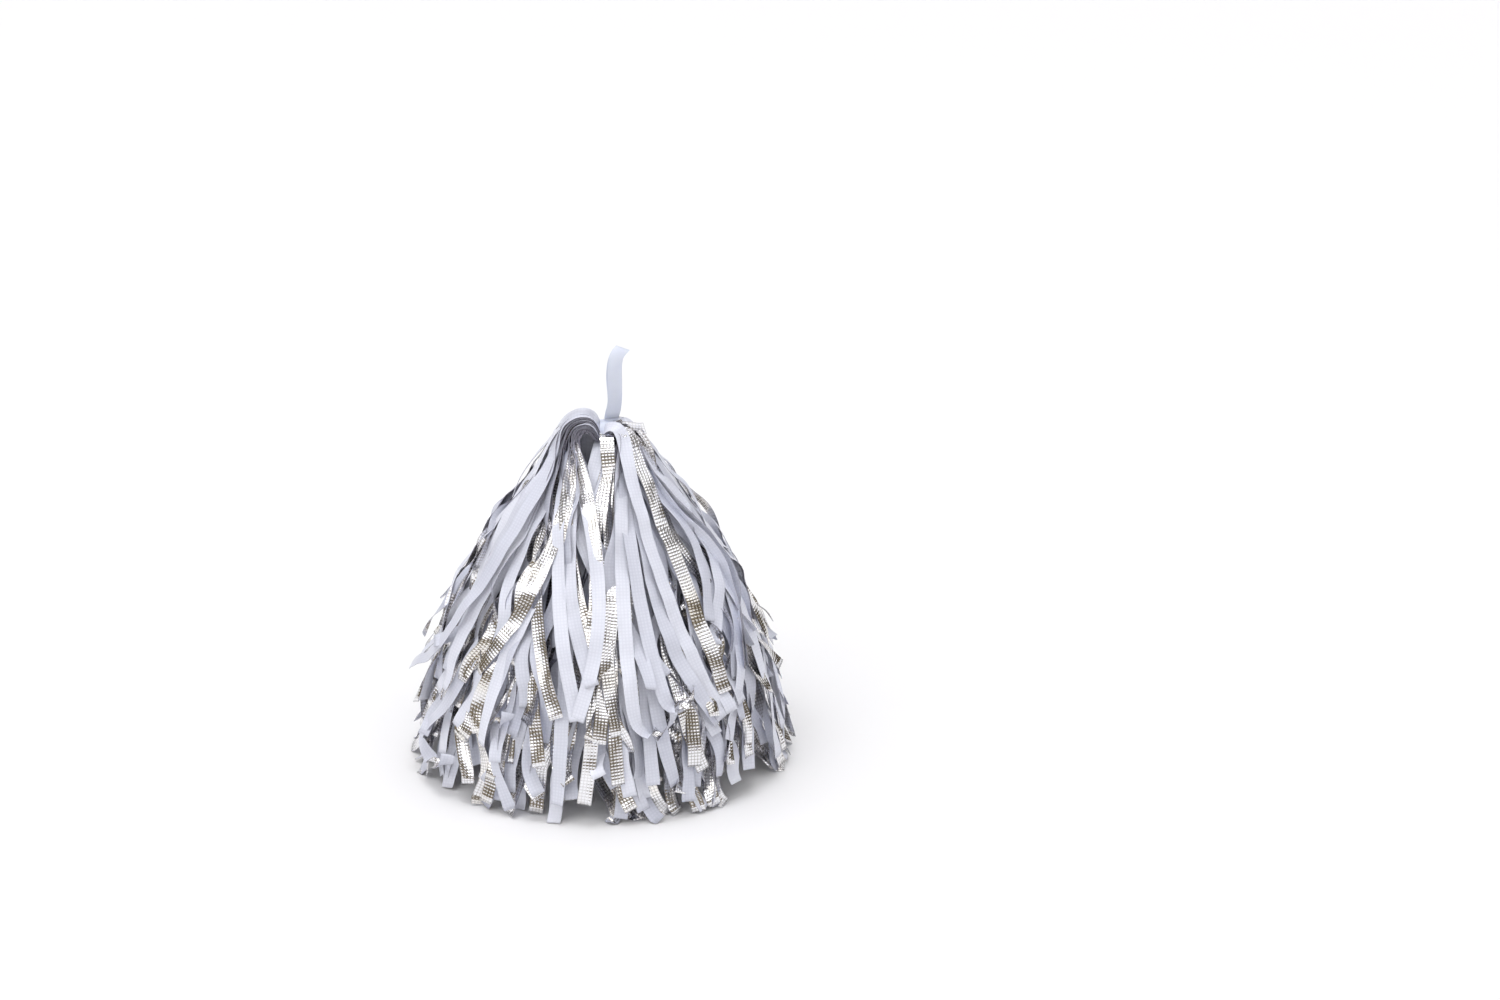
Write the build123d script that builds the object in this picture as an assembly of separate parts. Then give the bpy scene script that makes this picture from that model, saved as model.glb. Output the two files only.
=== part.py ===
"""Cheer pom pom: foil strips tied round their middles, standing on their ends, with a finger loop on top.

Millimetres, +Z up, origin on the floor under the middle of the skirt, front towards -Y. The strips are
grouped into hanks in three layers round a centre tassel. Each hank is one closed solid of the hank's
outer shape. The inner hanks and the tassel stand on the floor. The middle and outer hanks swing
outwards from the crown, and the finger loop swings to the front and to the back.
"""

from build123d import *
import os
from math import cos, degrees, hypot, radians, sin, tan, asin, atan2

# ---- driving dimensions ----
SECTORS = 12  # hanks in each layer
SHOULDER = (27.0, 222.0)  # radius and height where the skirt leaves the crown
HEM = (128.0, 4.0)  # radius and height where the skirt's curve would meet the floor
BULGE = 15.0  # how far the skirt's curve stands out from a straight cone
HANK_THICKNESS = 7.5
LAYER_PITCH = 9.0  # from one layer's outer face to the next one's; it leaves room for both to swing
INNER_TOP_THICKNESS = 8.0  # the standing hanks' thickness where they leave the tie
INNER_FOOT_THICKNESS = 20.0  # and the same at the floor, apart from the splay
OUTER_END_HEIGHT = 60.0  # the outer strips go the longest way round, so they end highest
MIDDLE_END_HEIGHT = 30.0
SPLAY_HEIGHT = 26.0  # below this the standing strips splay out
FOOT_RADIUS = 119.0
TOE_HEIGHT = 6.0
SECTOR_SETBACK = 5.0  # the sectors' side planes meet this far out from the axis, which parts them

CROWN_RADIUS = 18.5
CROWN_BASE = 219.5
CROWN_EDGE = 226.0
CROWN_TOP = 238.0
WAIST_HEIGHT = 222.0  # the strips' middles, squeezed into one round bundle along X
WAIST_RADIUS = 8.0
SADDLE_CENTRE = 5.0  # the tie is a little to the right of the skirt's middle
SADDLE_WIDTH = 10.0  # between the crown's two lobes

STRAP_WIDTH = 8.5
STRAP_THICKNESS = 1.0
LOOP_FOOT_RADIUS = 3.0  # the strap's turn at the foot of the finger loop, which it swings about
LOOP_CLEARANCE = 0.4
LOOP_TOP = 283.0
LOOP_HALF_GAP = 8.0  # half the loop's inner width, where it is widest
LOOP_WIDEST = 256.0
LOOP_TOP_RADIUS = 4.0

TASSEL_FOOT_RADIUS = 42.0
TASSEL_TOP_RADIUS = 4.4
REACH = 400.0  # longer than anything it cuts

# ---- the skirt's curve: a circular arc in the plane of the axis ----
CHORD = hypot(HEM[0] - SHOULDER[0], HEM[1] - SHOULDER[1])
CURVE_RADIUS = (CHORD / 2) ** 2 / (2 * BULGE) + BULGE / 2
CHORD_NORMAL = atan2(HEM[0] - SHOULDER[0], SHOULDER[1] - HEM[1])
TOP_ANGLE = CHORD_NORMAL + asin(CHORD / 2 / CURVE_RADIUS)
CENTRE = (
    SHOULDER[0] - CURVE_RADIUS * cos(TOP_ANGLE),
    SHOULDER[1] - CURVE_RADIUS * sin(TOP_ANGLE),
)

# ---- places that follow from the dimensions ----
SECTOR_STEP = 360.0 / SECTORS
SECTOR_AZIMUTHS = [-90.0 + SECTOR_STEP * (i + 0.5) for i in range(SECTORS)]
BINDING_RADIUS = WAIST_RADIUS + STRAP_THICKNESS
LOOP_FOOT_HEIGHT = WAIST_HEIGHT + BINDING_RADIUS + LOOP_CLEARANCE + LOOP_FOOT_RADIUS
TASSEL_TOP = WAIST_HEIGHT - BINDING_RADIUS


def on_curve(depth, angle):
    """Radius and height of the point at that depth under the skirt's curve, at an angle in radians."""
    reach = CURVE_RADIUS - depth
    return CENTRE[0] + reach * cos(angle), CENTRE[1] + reach * sin(angle)


def angle_at_height(depth, height):
    """The curve's angle, in radians, where the surface at that depth has that height."""
    return asin((height - CENTRE[1]) / (CURVE_RADIUS - depth))


def hinge_point(layer):
    """Radius and height of the line that a hank of that layer swings about; layer 0 is the outer one."""
    return on_curve(layer * LAYER_PITCH + HANK_THICKNESS / 2, TOP_ANGLE)


def sector_prism():
    """Everything in the sector round the +X direction, above the floor."""
    half_width = (REACH - SECTOR_SETBACK) * tan(radians(SECTOR_STEP / 2))
    outline = Polygon(
        (SECTOR_SETBACK, 0), (REACH, -half_width), (REACH, half_width), align=None
    )
    return extrude(outline, amount=REACH)


def slab(edges):
    """A hank in the +X direction, from the closed outline of its section in radius and height."""
    section = Plane.XZ * make_face(edges)
    return extrude(section, amount=REACH / 4, both=True) & sector_prism()


def swinging_hank(layer, end_height):
    """A curved slab with a round top end, which is centred on the line that it swings about."""
    depth = layer * LAYER_PITCH
    outside, inside = CURVE_RADIUS - depth, CURVE_RADIUS - depth - HANK_THICKNESS
    top, end = degrees(TOP_ANGLE), degrees(angle_at_height(depth, end_height))
    end_angle = radians(end)
    return slab(
        [
            CenterArc(CENTRE, outside, end, top - end),
            CenterArc(hinge_point(layer), HANK_THICKNESS / 2, top, 180),
            CenterArc(CENTRE, inside, end, top - end),
            Line(on_curve(depth, end_angle), on_curve(depth + HANK_THICKNESS, end_angle)),
        ]
    )


def standing_hank():
    """A hank with a straight inner side that reaches the floor, where its strips splay out to a flat foot."""
    depth = 2 * LAYER_PITCH
    top = degrees(TOP_ANGLE)
    splay = degrees(angle_at_height(depth, SPLAY_HEIGHT))
    heel_depth = depth + INNER_FOOT_THICKNESS
    return slab(
        [
            CenterArc(CENTRE, CURVE_RADIUS - depth, splay, top - splay),
            Polyline(
                on_curve(depth, radians(splay)),
                (FOOT_RADIUS, TOE_HEIGHT),
                (FOOT_RADIUS, 0),
                on_curve(heel_depth, angle_at_height(heel_depth, 0)),
                on_curve(depth + INNER_TOP_THICKNESS, TOP_ANGLE),
                on_curve(depth, TOP_ANGLE),
            ),
        ]
    )


def crown_lobe(side):
    """The domed crown on one side of the tie, where the strips rise and curl over; side is 1 or -1."""
    outline = [
        Line((0, CROWN_BASE), (CROWN_RADIUS, CROWN_BASE)),
        Line((CROWN_RADIUS, CROWN_BASE), (CROWN_RADIUS, CROWN_EDGE)),
        ThreePointArc(
            (CROWN_RADIUS, CROWN_EDGE),
            (CROWN_RADIUS * 0.72, CROWN_TOP - (CROWN_TOP - CROWN_EDGE) * 0.3),
            (0, CROWN_TOP),
        ),
        Line((0, CROWN_TOP), (0, CROWN_BASE)),
    ]
    dome = revolve(Plane.XZ * make_face(outline), Axis.Z)
    towards_tie = Align.MIN if side > 0 else Align.MAX
    keep = Box(REACH, REACH, REACH, align=(towards_tie, Align.CENTER, Align.CENTER))
    return dome & (Pos(SADDLE_CENTRE + side * SADDLE_WIDTH / 2, 0, CROWN_TOP) * keep)


def along_x(radius, length, height):
    """A cylinder along X, centred on the tie."""
    return Pos(SADDLE_CENTRE, 0, height) * (Rot(0, 90, 0) * Cylinder(radius, length))


def binding_loop():
    """The strap's turn round the waist."""
    outside = along_x(BINDING_RADIUS, STRAP_WIDTH, WAIST_HEIGHT)
    return outside - along_x(WAIST_RADIUS, STRAP_WIDTH, WAIST_HEIGHT)


def loop_outline(inset):
    """The finger loop seen from the side: round at the foot, widest half-way up and narrow at the top."""
    foot = LOOP_FOOT_RADIUS - inset
    side = LOOP_HALF_GAP + STRAP_THICKNESS - inset
    tip = LOOP_TOP_RADIUS - inset
    tip_height = LOOP_TOP - LOOP_TOP_RADIUS
    right = Spline(
        (foot, LOOP_FOOT_HEIGHT),
        (side, LOOP_WIDEST),
        (tip, tip_height),
        tangents=[(0.35, 1), (-0.25, 1)],
    )
    return [
        right,
        right.mirror(Plane.YZ),
        ThreePointArc((-tip, tip_height), (0, tip_height + tip), (tip, tip_height)),
        ThreePointArc(
            (-foot, LOOP_FOOT_HEIGHT), (0, LOOP_FOOT_HEIGHT - foot), (foot, LOOP_FOOT_HEIGHT)
        ),
    ]


def handle_loop():
    """The finger loop: a flat strap whose width is along X."""
    ring = make_face(loop_outline(0)) - make_face(loop_outline(STRAP_THICKNESS))
    return extrude(Plane.YZ.offset(SADDLE_CENTRE) * ring, amount=STRAP_WIDTH / 2, both=True)


def centre_tassel():
    """The innermost strips, which hang straight down and spread on the floor."""
    middle = Pos(0, 0, TASSEL_TOP / 2)
    return middle * Cone(TASSEL_FOOT_RADIUS, TASSEL_TOP_RADIUS, TASSEL_TOP)


def all_parts():
    """Every sub-part by its node's name."""
    parts = {
        "handle_loop": handle_loop(),
        "binding_loop": binding_loop(),
        "gathered_waist": along_x(WAIST_RADIUS, SADDLE_WIDTH, WAIST_HEIGHT),
        "crown_left": crown_lobe(-1),
        "crown_right": crown_lobe(1),
        "centre_tassel": centre_tassel(),
    }
    layers = {
        "outer_hank": swinging_hank(0, OUTER_END_HEIGHT),
        "middle_hank": swinging_hank(1, MIDDLE_END_HEIGHT),
        "inner_hank": standing_hank(),
    }
    for name, hank in layers.items():
        for number, azimuth in enumerate(SECTOR_AZIMUTHS, 1):
            parts[f"{name}_{number:02d}"] = hank.rotate(Axis.Z, azimuth)
    return parts


def main():
    os.makedirs("parts", exist_ok=True)
    for name, shape in all_parts().items():
        export_step(shape, f"parts/{name}.step")


if __name__ == "__main__":
    main()
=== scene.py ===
"""The looks of the cheer pom pom: every strip as a thin ribbon, the strap's loop, and a pale studio.

Lengths are in millimetres while a strip is worked out, and in metres once it is a mesh. A strip follows
rows of seven numbers: its place, the direction of its width, and the degrees it is turned about its line.
Angles round the axis are azimuths, from +X towards +Y, so the front is at -90 degrees.
"""

import math

import bpy
import numpy as np
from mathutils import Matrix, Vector


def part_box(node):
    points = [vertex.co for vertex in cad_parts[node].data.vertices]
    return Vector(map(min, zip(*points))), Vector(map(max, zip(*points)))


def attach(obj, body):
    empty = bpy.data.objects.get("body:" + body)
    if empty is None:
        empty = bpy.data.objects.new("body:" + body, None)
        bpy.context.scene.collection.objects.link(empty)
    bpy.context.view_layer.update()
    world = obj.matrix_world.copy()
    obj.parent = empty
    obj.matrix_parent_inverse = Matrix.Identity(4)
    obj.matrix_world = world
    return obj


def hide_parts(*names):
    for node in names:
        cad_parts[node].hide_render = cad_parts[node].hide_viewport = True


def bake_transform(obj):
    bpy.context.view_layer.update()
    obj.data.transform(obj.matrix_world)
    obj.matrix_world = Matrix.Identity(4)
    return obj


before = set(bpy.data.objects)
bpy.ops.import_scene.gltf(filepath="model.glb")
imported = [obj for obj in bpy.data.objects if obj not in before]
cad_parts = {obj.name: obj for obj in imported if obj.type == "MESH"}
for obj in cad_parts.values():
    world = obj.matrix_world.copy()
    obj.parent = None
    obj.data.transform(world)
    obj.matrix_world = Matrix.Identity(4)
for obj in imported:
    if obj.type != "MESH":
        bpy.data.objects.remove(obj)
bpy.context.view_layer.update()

MM = 0.001


def box_middle(name, axis):
    """The middle of a CAD node's box along an axis, in millimetres."""
    low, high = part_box(name)
    return round((low[axis] + high[axis]) / 2 / MM, 2)


# ---- the skirt's curve and the tie, as the CAD has them ----
SHOULDER = (27.0, 222.0)  # radius and height where the skirt leaves the crown
HEM = (128.0, 4.0)  # radius and height where the skirt's curve would meet the floor
BULGE = 15.0  # how far the curve stands out from a straight cone
SECTORS = 12  # hanks in each layer
LAYER_PITCH = 9.0  # from one layer's outer face to the next one's
TIE_X = box_middle("binding_loop", 0)
TIE_HEIGHT = box_middle("binding_loop", 2)

CHORD = math.hypot(HEM[0] - SHOULDER[0], HEM[1] - SHOULDER[1])
CURVE_RADIUS = (CHORD / 2) ** 2 / (2 * BULGE) + BULGE / 2
CHORD_NORMAL = math.atan2(HEM[0] - SHOULDER[0], SHOULDER[1] - HEM[1])
TOP_ANGLE = CHORD_NORMAL + math.asin(CHORD / 2 / CURVE_RADIUS)
CENTRE_R = SHOULDER[0] - CURVE_RADIUS * math.cos(TOP_ANGLE)
CENTRE_Z = SHOULDER[1] - CURVE_RADIUS * math.sin(TOP_ANGLE)

# ---- the strips ----
STRIP_WIDTH = 9.0
STRIP_THICKNESS = 0.26
COLUMNS = 5  # points across a strip
FLOOR_GAP = 0.4
WIDEST = 128.0  # no strip reaches further out from the axis
EASE_FROM = 114.0  # the radius from which strips are eased in under the widest
SILVER_OUT = 0.0  # the turn that shows a strip's silver side
WHITE_OUT = 180.0  # and its white side


def unit(v):
    """Vectors scaled to length 1."""
    return v / np.maximum(np.linalg.norm(v, axis=-1, keepdims=True), 1e-9)


def smoothstep(x):
    """An even rise from 0 to 1 as x goes from 0 to 1."""
    x = np.clip(x, 0.0, 1.0)
    return x * x * (3 - 2 * x)


def between(pair, share):
    """The value that share of the way from the first of a pair to the second."""
    return pair[0] + (pair[1] - pair[0]) * share


OCTAVES = ((1.0, 0.7), (1.7, 0.4), (2.9, 0.2))  # frequency and share of each sine in a wave


def wave(rng, size, wavelength):
    """A smooth random wave of about that size and wavelength, as a function of the distance."""
    phases = rng.uniform(0, 2 * math.pi, len(OCTAVES))

    def height(s):
        turn = 2 * math.pi * s / wavelength
        sines = [share * np.sin(turn * k + phase) for (k, share), phase in zip(OCTAVES, phases)]
        return size * sum(sines)

    return height


def skirt_place(depth, along):
    """Radius and height at that depth under the skirt's surface, that far along it from the shoulder."""
    reach = CURVE_RADIUS - depth
    angle = TOP_ANGLE - along / reach
    return CENTRE_R + reach * np.cos(angle), CENTRE_Z + reach * np.sin(angle)


def gather_in(r):
    """Eases the widest radii in, so that nothing sticks out beyond the widest reach."""
    over = np.maximum(r - EASE_FROM, 0)
    reach = WIDEST - EASE_FROM
    return np.minimum(r, EASE_FROM) + reach * (1 - np.exp(-over / reach))


def skirt_radius(height):
    """The radius of the skirt's surface at that height."""
    return CENTRE_R + math.sqrt(CURVE_RADIUS**2 - (height - CENTRE_Z) ** 2)


# ---- a strip's middle line ----

SPAN_STEPS = 8  # points on the curve between two rows
LEAST_POINTS = 4


def spline(controls, spacing):
    """A uniform cubic B-spline that follows the control rows, in even steps of that spacing."""
    first = 2 * controls[0] - controls[1]
    last = 2 * controls[-1] - controls[-2]
    c = np.vstack([first, controls, last])
    t = np.linspace(0, 1, SPAN_STEPS + 1)[:-1, None]
    basis = [
        (1 - t) ** 3 / 6,
        (3 * t**3 - 6 * t**2 + 4) / 6,
        (-3 * t**3 + 3 * t**2 + 3 * t + 1) / 6,
        t**3 / 6,
    ]
    spans = [sum(b * c[i + k] for k, b in enumerate(basis)) for i in range(len(c) - 3)]
    line = np.vstack(spans + [controls[-1:]])
    step = np.linalg.norm(np.diff(line[:, :3], axis=0), axis=1)
    s = np.concatenate([[0], np.cumsum(step)])
    even = np.linspace(0, s[-1], max(int(s[-1] / spacing), LEAST_POINTS))
    return np.stack([np.interp(even, s, line[:, k]) for k in range(line.shape[1])], 1), even


# ---- rows over the crown ----

LOBES = {  # by side of the tie, -1 is left: the hollow that strips curl round, and how far out they go
    -1: {
        "hollow": (-8.5, -8.0),  # x for strips that leave sideways, and for those that leave to the front
        "height": TIE_HEIGHT - 0.5,
        "tie": (3.5, 9.0),  # from the hollow towards the tie, for the innermost strip and the outermost
        "outer": (4.5, 20.0),  # away from the tie, likewise
        "rise": (5.0, 17.5),  # upwards, likewise
    },
    1: {
        "hollow": (15.5, 10.0),
        "height": TIE_HEIGHT - 1.0,
        "tie": (2.5, 4.0),
        "outer": (3.0, 10.0),
        "rise": (4.5, 10.5),
    },
}
LOBE_SPLIT = 0.04  # strips with a greater cosine than this go over the right lobe
FRONT_WIDER = 4.0  # how much further towards the tie the outermost strips to the front start
FRONT_STACK = 0.3  # the share of the stack's thickness that the strips straight to the front keep
CROWN_SHUFFLE = 2.5  # strips lie this far out of line, to the front or the back
ARC_STEPS = (0, 40, 80, 120, 160)  # degrees round the hollow
ARC_FORWARD = (6.0, 11.0)  # how far forward a strip is at the hollow's start, and after half a circle

CENTRAL = 0.16  # strips nearer the front or the back than this cosine come out from under the tie
CENTRAL_WAY = (  # sideways, forward and up from the tie
    (0.0, 0.0, -3.0), (26.0, 6.5, 1.0), (26.0, 12.5, -2.0),
)
CENTRAL_DROP = 9.0  # from the outermost central strip down to the innermost


def central_rows(a, stack, face):
    """Rows of a strip that comes out from under the tie, in the direction a."""
    across = (math.sin(a), -math.cos(a), 0.0, face)
    rows = []
    for sideways, forward, up in CENTRAL_WAY:
        place = (
            TIE_X + sideways * math.cos(a),
            forward * math.sin(a),
            TIE_HEIGHT + up - CENTRAL_DROP * stack,
        )
        rows.append(place + across)
    return rows


def lobe_rows(a, side, stack, face, rng):
    """Rows of a strip that rises beside the tie and curls over the hollow of a lobe, in the direction a."""
    forward, sideways = math.sin(a), abs(math.cos(a))
    lobe = LOBES[side]
    outward = (1 - stack) * (FRONT_STACK + (1 - FRONT_STACK) * sideways)
    hollow_x = between(lobe["hollow"], abs(forward))
    tie_side = between(lobe["tie"], outward) + FRONT_WIDER * abs(forward) * outward
    outer_side = between(lobe["outer"], outward)
    rise = between(lobe["rise"], outward)
    offset = rng.uniform(-CROWN_SHUFFLE, CROWN_SHUFFLE)
    across = (0.0, -side, 0.0, face)
    rows = [(TIE_X, 3.0 * forward, TIE_HEIGHT - 3.0) + across]
    for step in ARC_STEPS:
        turn = math.radians(step)
        half_width = tie_side if step < 90 else outer_side
        x = hollow_x - side * half_width * math.cos(turn)
        y = forward * between(ARC_FORWARD, step / 180) + offset
        z = lobe["height"] + rise * math.sin(turn)
        rows.append((x, y, z) + across)
    return rows


def crown_rows(azimuth, stack, face, rng):
    """A strip's rows from the tie over the crown, and its side; stack is 0 outermost and 1 at the hollow."""
    a = math.radians(azimuth)
    side = 1 if math.cos(a) > LOBE_SPLIT else -1
    if abs(math.cos(a)) < CENTRAL:
        return central_rows(a, stack, face), side
    return lobe_rows(a, side, stack, face, rng), side


# ---- rows down the skirt ----

ROW_PITCH = 9.0
FLIP_LENGTH = 55.0  # the length over which a strip turns over
KICK_LENGTH = 50.0  # the length at a strip's end that bends outwards
SPLAY_BELOW = 16.0  # under this height the strips splay out
LIE_BELOW = 6.0  # under this height they level out over the floor
LOWEST_LINE = 0.8  # the height that a lying strip's middle line tends to
STIFF_RADIUS = 25.0  # nearer the axis than this, a sway turns a strip no further round it


def skirt_rows(spec, lock, rng):
    """A strip's rows down the skirt."""
    sway = wave(rng, spec["sway"], rng.uniform(80, 150))
    swell = wave(rng, spec["swell"], rng.uniform(80, 140))
    along = np.arange(spec["join"], spec["length"] + 1, ROW_PITCH)
    t = along / spec["length"]
    azimuth = spec["azimuth"] + (spec["end_azimuth"] - spec["azimuth"]) * smoothstep(t) ** 0.8
    sideways = (sway(along) + lock["sway"](along)) * smoothstep(along / 80)
    depth = spec["depth"] + (spec["end_depth"] - spec["depth"]) * t**1.5
    depth = depth + (swell(along) + lock["swell"](along)) * smoothstep(along / 70)
    depth = depth - spec["kick"] * np.clip((along - spec["length"]) / KICK_LENGTH + 1, 0, 1) ** 2
    r, z = skirt_place(depth, along)
    r = gather_in(r + spec["splay"] * np.clip(1 - z / SPLAY_BELOW, 0, None))
    ease = LIE_BELOW - LOWEST_LINE
    z = np.where(z < LIE_BELOW, LOWEST_LINE + ease * np.exp((z - LIE_BELOW) / ease), z)
    a = np.radians(azimuth) + sideways / np.maximum(r, STIFF_RADIUS)
    free = smoothstep((along - spec["calm"]) / 80)
    turn = spec["face"] + free * (spec["twist"](along) + lock["twist"](along))
    turn = turn + spec["flip"] * smoothstep((along - spec["flip_at"]) / FLIP_LENGTH)
    start = np.array([0.0, -spec["side"], 0.0])
    end = np.stack([np.sin(a), -np.cos(a), np.zeros_like(a)], 1)
    share = smoothstep(along / spec["unroll"])[:, None]
    across = unit(start * (1 - share) + end * share + 1e-6)
    return np.column_stack([r * np.cos(a), r * np.sin(a), z, across, turn])


FRONT_STEPS = 7  # rows of a placed strip down the front
HOOK_ANGLES = (40, 80, 120, 160, 190)  # degrees round the hook at a placed strip's end
HOOK_TURN = 0.8  # how much the strip turns with each degree of the hook
LEAST_FORWARD = 1.0  # a placed strip stays this far to the front of the skirt's left and right edges


def hook_places(x, height, out, radius):
    """Places round the half circle to the right that a strip's end makes, on its way up again."""
    places = []
    for angle in HOOK_ANGLES:
        a = math.radians(angle)
        place = (x + radius * (1 - math.cos(a)), height - radius * math.sin(a), out, angle * HOOK_TURN)
        places.append(place)
    return places


def front_rows(face, x, height, bow, out, turn=(0, 0), hook=0):
    """Rows of a placed strip down the front.

    The pairs x, height, out and turn are at its start and its end; out is how far it stands out from the
    skirt's surface. Between the ends it bows to the right by bow. A hook is the radius of the end's curl.
    """
    places = []
    for share in np.linspace(0, 1, FRONT_STEPS):
        along = between(x, share) + bow * math.sin(math.pi * share)
        places.append((along, between(height, share), between(out, math.sqrt(share)), between(turn, share)))
    if hook:
        places += hook_places(x[1], height[1], out[1], hook)
    rows = []
    for along, z, stands_out, extra in places:
        radius = gather_in(skirt_radius(z) + stands_out)
        y = -math.sqrt(max(radius**2 - along**2, LEAST_FORWARD**2))
        a = math.atan2(y, along)
        rows.append((along, y, z, math.sin(a), -math.cos(a), 0.0, face + extra))
    return np.array(rows)


# ---- a strip's surface ----


def frames(line, across):
    """Width direction and face normal at each point of a line."""
    tangent = unit(np.gradient(line, axis=0))
    normal = unit(np.cross(across, tangent))
    return unit(np.cross(tangent, normal)), normal


class Sheaf:
    """The strips of one piece: vertices, faces, materials and texture coordinates."""

    def __init__(self):
        self.verts, self.faces, self.slots, self.uvs, self.tones = [], [], [], [], []
        self.count = 0

    def add(self, centre, across, normal, s, sag, tone):
        """A strip along the points of its middle line; s is the distance along it, sag its bow across."""
        rows = len(centre)
        u = np.linspace(-0.5, 0.5, COLUMNS)
        x = STRIP_WIDTH * u
        bow = sag[:, None] * (1 - (2 * u[None, :]) ** 2)
        base = centre[:, None] + across[:, None] * x[:, None] + normal[:, None] * bow[..., None]
        half = normal[:, None] * (STRIP_THICKNESS / 2)
        grid = np.stack([base + half, base - half], 1)
        grid[..., 2] = np.maximum(grid[..., 2], FLOOR_GAP)
        index = self.count + np.arange(rows * 2 * COLUMNS).reshape(rows, 2, COLUMNS)
        v = np.broadcast_to(s[:, None], (rows, COLUMNS))
        across_mm = np.broadcast_to(x, (rows, COLUMNS))
        self._patch(index[:, 0], v, across_mm, slot=0, flip=False)
        self._patch(index[:, 1], v, across_mm, slot=1, flip=True)
        for column, flip in ((0, False), (COLUMNS - 1, True)):
            rim = np.stack([index[:, 1, column], index[:, 0, column]], 1)
            pair = np.stack([s, s], 1)
            self._patch(rim, pair, pair * 0, slot=2, flip=flip)
        for row, flip in ((0, True), (rows - 1, False)):
            cap = index[row][::-1] if flip else index[row]
            pair = np.stack([across_mm[row]] * 2)
            self._patch(cap, pair, pair * 0, slot=2, flip=False)
        self.verts.append(grid.reshape(-1, 3))
        self.tones.append(np.full(rows * 2 * COLUMNS, tone))
        self.count += rows * 2 * COLUMNS

    def _patch(self, index, v, u, slot, flip):
        """Quads over a grid of vertex numbers."""
        corners = [index[:-1, :-1], index[:-1, 1:], index[1:, 1:], index[1:, :-1]]
        us = [u[:-1, :-1], u[:-1, 1:], u[1:, 1:], u[1:, :-1]]
        vs = [v[:-1, :-1], v[:-1, 1:], v[1:, 1:], v[1:, :-1]]
        if flip:
            corners, us, vs = corners[::-1], us[::-1], vs[::-1]
        quads = np.stack(corners, -1).reshape(-1, 4)
        uv = np.stack([np.stack(us, -1), np.stack(vs, -1)], -1).reshape(-1, 4, 2)
        self.faces.append(quads)
        self.uvs.append(uv)
        self.slots.append(np.full(len(quads), slot))

    def build(self, name, materials):
        """The Blender object of all the strips; materials are the front's, the back's and the edges'."""
        verts = np.vstack(self.verts) * MM
        faces = np.vstack(self.faces)
        mesh = bpy.data.meshes.new(name)
        mesh.vertices.add(len(verts))
        mesh.vertices.foreach_set("co", verts.astype(np.float32).ravel())
        mesh.loops.add(faces.size)
        mesh.loops.foreach_set("vertex_index", faces.astype(np.int32).ravel())
        mesh.polygons.add(len(faces))
        mesh.polygons.foreach_set("loop_start", np.arange(0, faces.size, 4, dtype=np.int32))
        mesh.polygons.foreach_set("loop_total", np.full(len(faces), 4, dtype=np.int32))
        mesh.polygons.foreach_set("material_index", np.concatenate(self.slots).astype(np.int32))
        mesh.update(calc_edges=True)
        layer = mesh.uv_layers.new(name="strip")
        layer.data.foreach_set("uv", np.vstack(self.uvs).astype(np.float32).ravel())
        tone = mesh.attributes.new("tone", "FLOAT", "POINT")
        tone.data.foreach_set("value", np.concatenate(self.tones).astype(np.float32))
        self._sharpen(mesh)
        for material in materials:
            mesh.materials.append(material)
        mesh.validate()
        piece = bpy.data.objects.new(name, mesh)
        bpy.context.scene.collection.objects.link(piece)
        return piece

    def _sharpen(self, mesh):
        """Smooth faces, with the long edges on both sides of each strip left sharp."""
        column = np.tile(np.arange(COLUMNS), self.count // COLUMNS)
        ends = np.empty(len(mesh.edges) * 2, np.int32)
        mesh.edges.foreach_get("vertices", ends)
        a, b = ends.reshape(-1, 2).T
        rim = ((column[a] == 0) | (column[a] == COLUMNS - 1)) & (column[a] == column[b])
        sharp = mesh.attributes.new("sharp_edge", "BOOLEAN", "EDGE")
        sharp.data.foreach_set("value", rim)
        mesh.polygons.foreach_set("use_smooth", np.ones(len(mesh.polygons), bool))


CRINKLE_WAVES = (45, 85)  # shortest and longest wavelength
CRINKLE_FROM = 25.0  # the strips lie smooth as far as this from their start
CRINKLE_GROWS = 30.0  # and are fully crinkled this much further on
SAG_CHANGE = 0.5
SAG_WAVE = 60.0


def add_strip(sheaf, rng, rows, spacing, crinkle, curl, tone):
    """Adds a strip that follows those rows; curl is its bow across its width, tone its whiteness."""
    track, s = spline(np.asarray(rows, float), spacing)
    line, across, twist = track[:, :3], unit(track[:, 3:6]), track[:, 6]
    _, normal = frames(line, across)
    ripple = wave(rng, crinkle, rng.uniform(*CRINKLE_WAVES))(s)
    line = line + normal * (ripple * smoothstep((s - CRINKLE_FROM) / CRINKLE_GROWS))[:, None]
    width_way, normal = frames(line, across)
    turn = np.radians(twist)[:, None]
    wide = width_way * np.cos(turn) + normal * np.sin(turn)
    face = normal * np.cos(turn) - width_way * np.sin(turn)
    sag = curl + wave(rng, SAG_CHANGE, SAG_WAVE)(s)
    sheaf.add(line, wide, face, s, sag, tone)


# ---- materials ----


def new_material(name):
    material = bpy.data.materials.new(name)
    material.use_nodes = True
    tree = material.node_tree
    return material, tree, tree.nodes["Principled BSDF"]


def node(tree, kind, **values):
    made = tree.nodes.new(kind)
    for key, value in values.items():
        setattr(made, key, value)
    return made


def maths(tree, operation, a, b=None):
    made = node(tree, "ShaderNodeMath", operation=operation)
    for socket, value in zip(made.inputs, (a, b)):
        if value is None:
            continue
        if isinstance(value, (int, float)):
            socket.default_value = value
        else:
            tree.links.new(value, socket)
    return made.outputs[0]


EMBOSS_PITCH = 2.1


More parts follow.
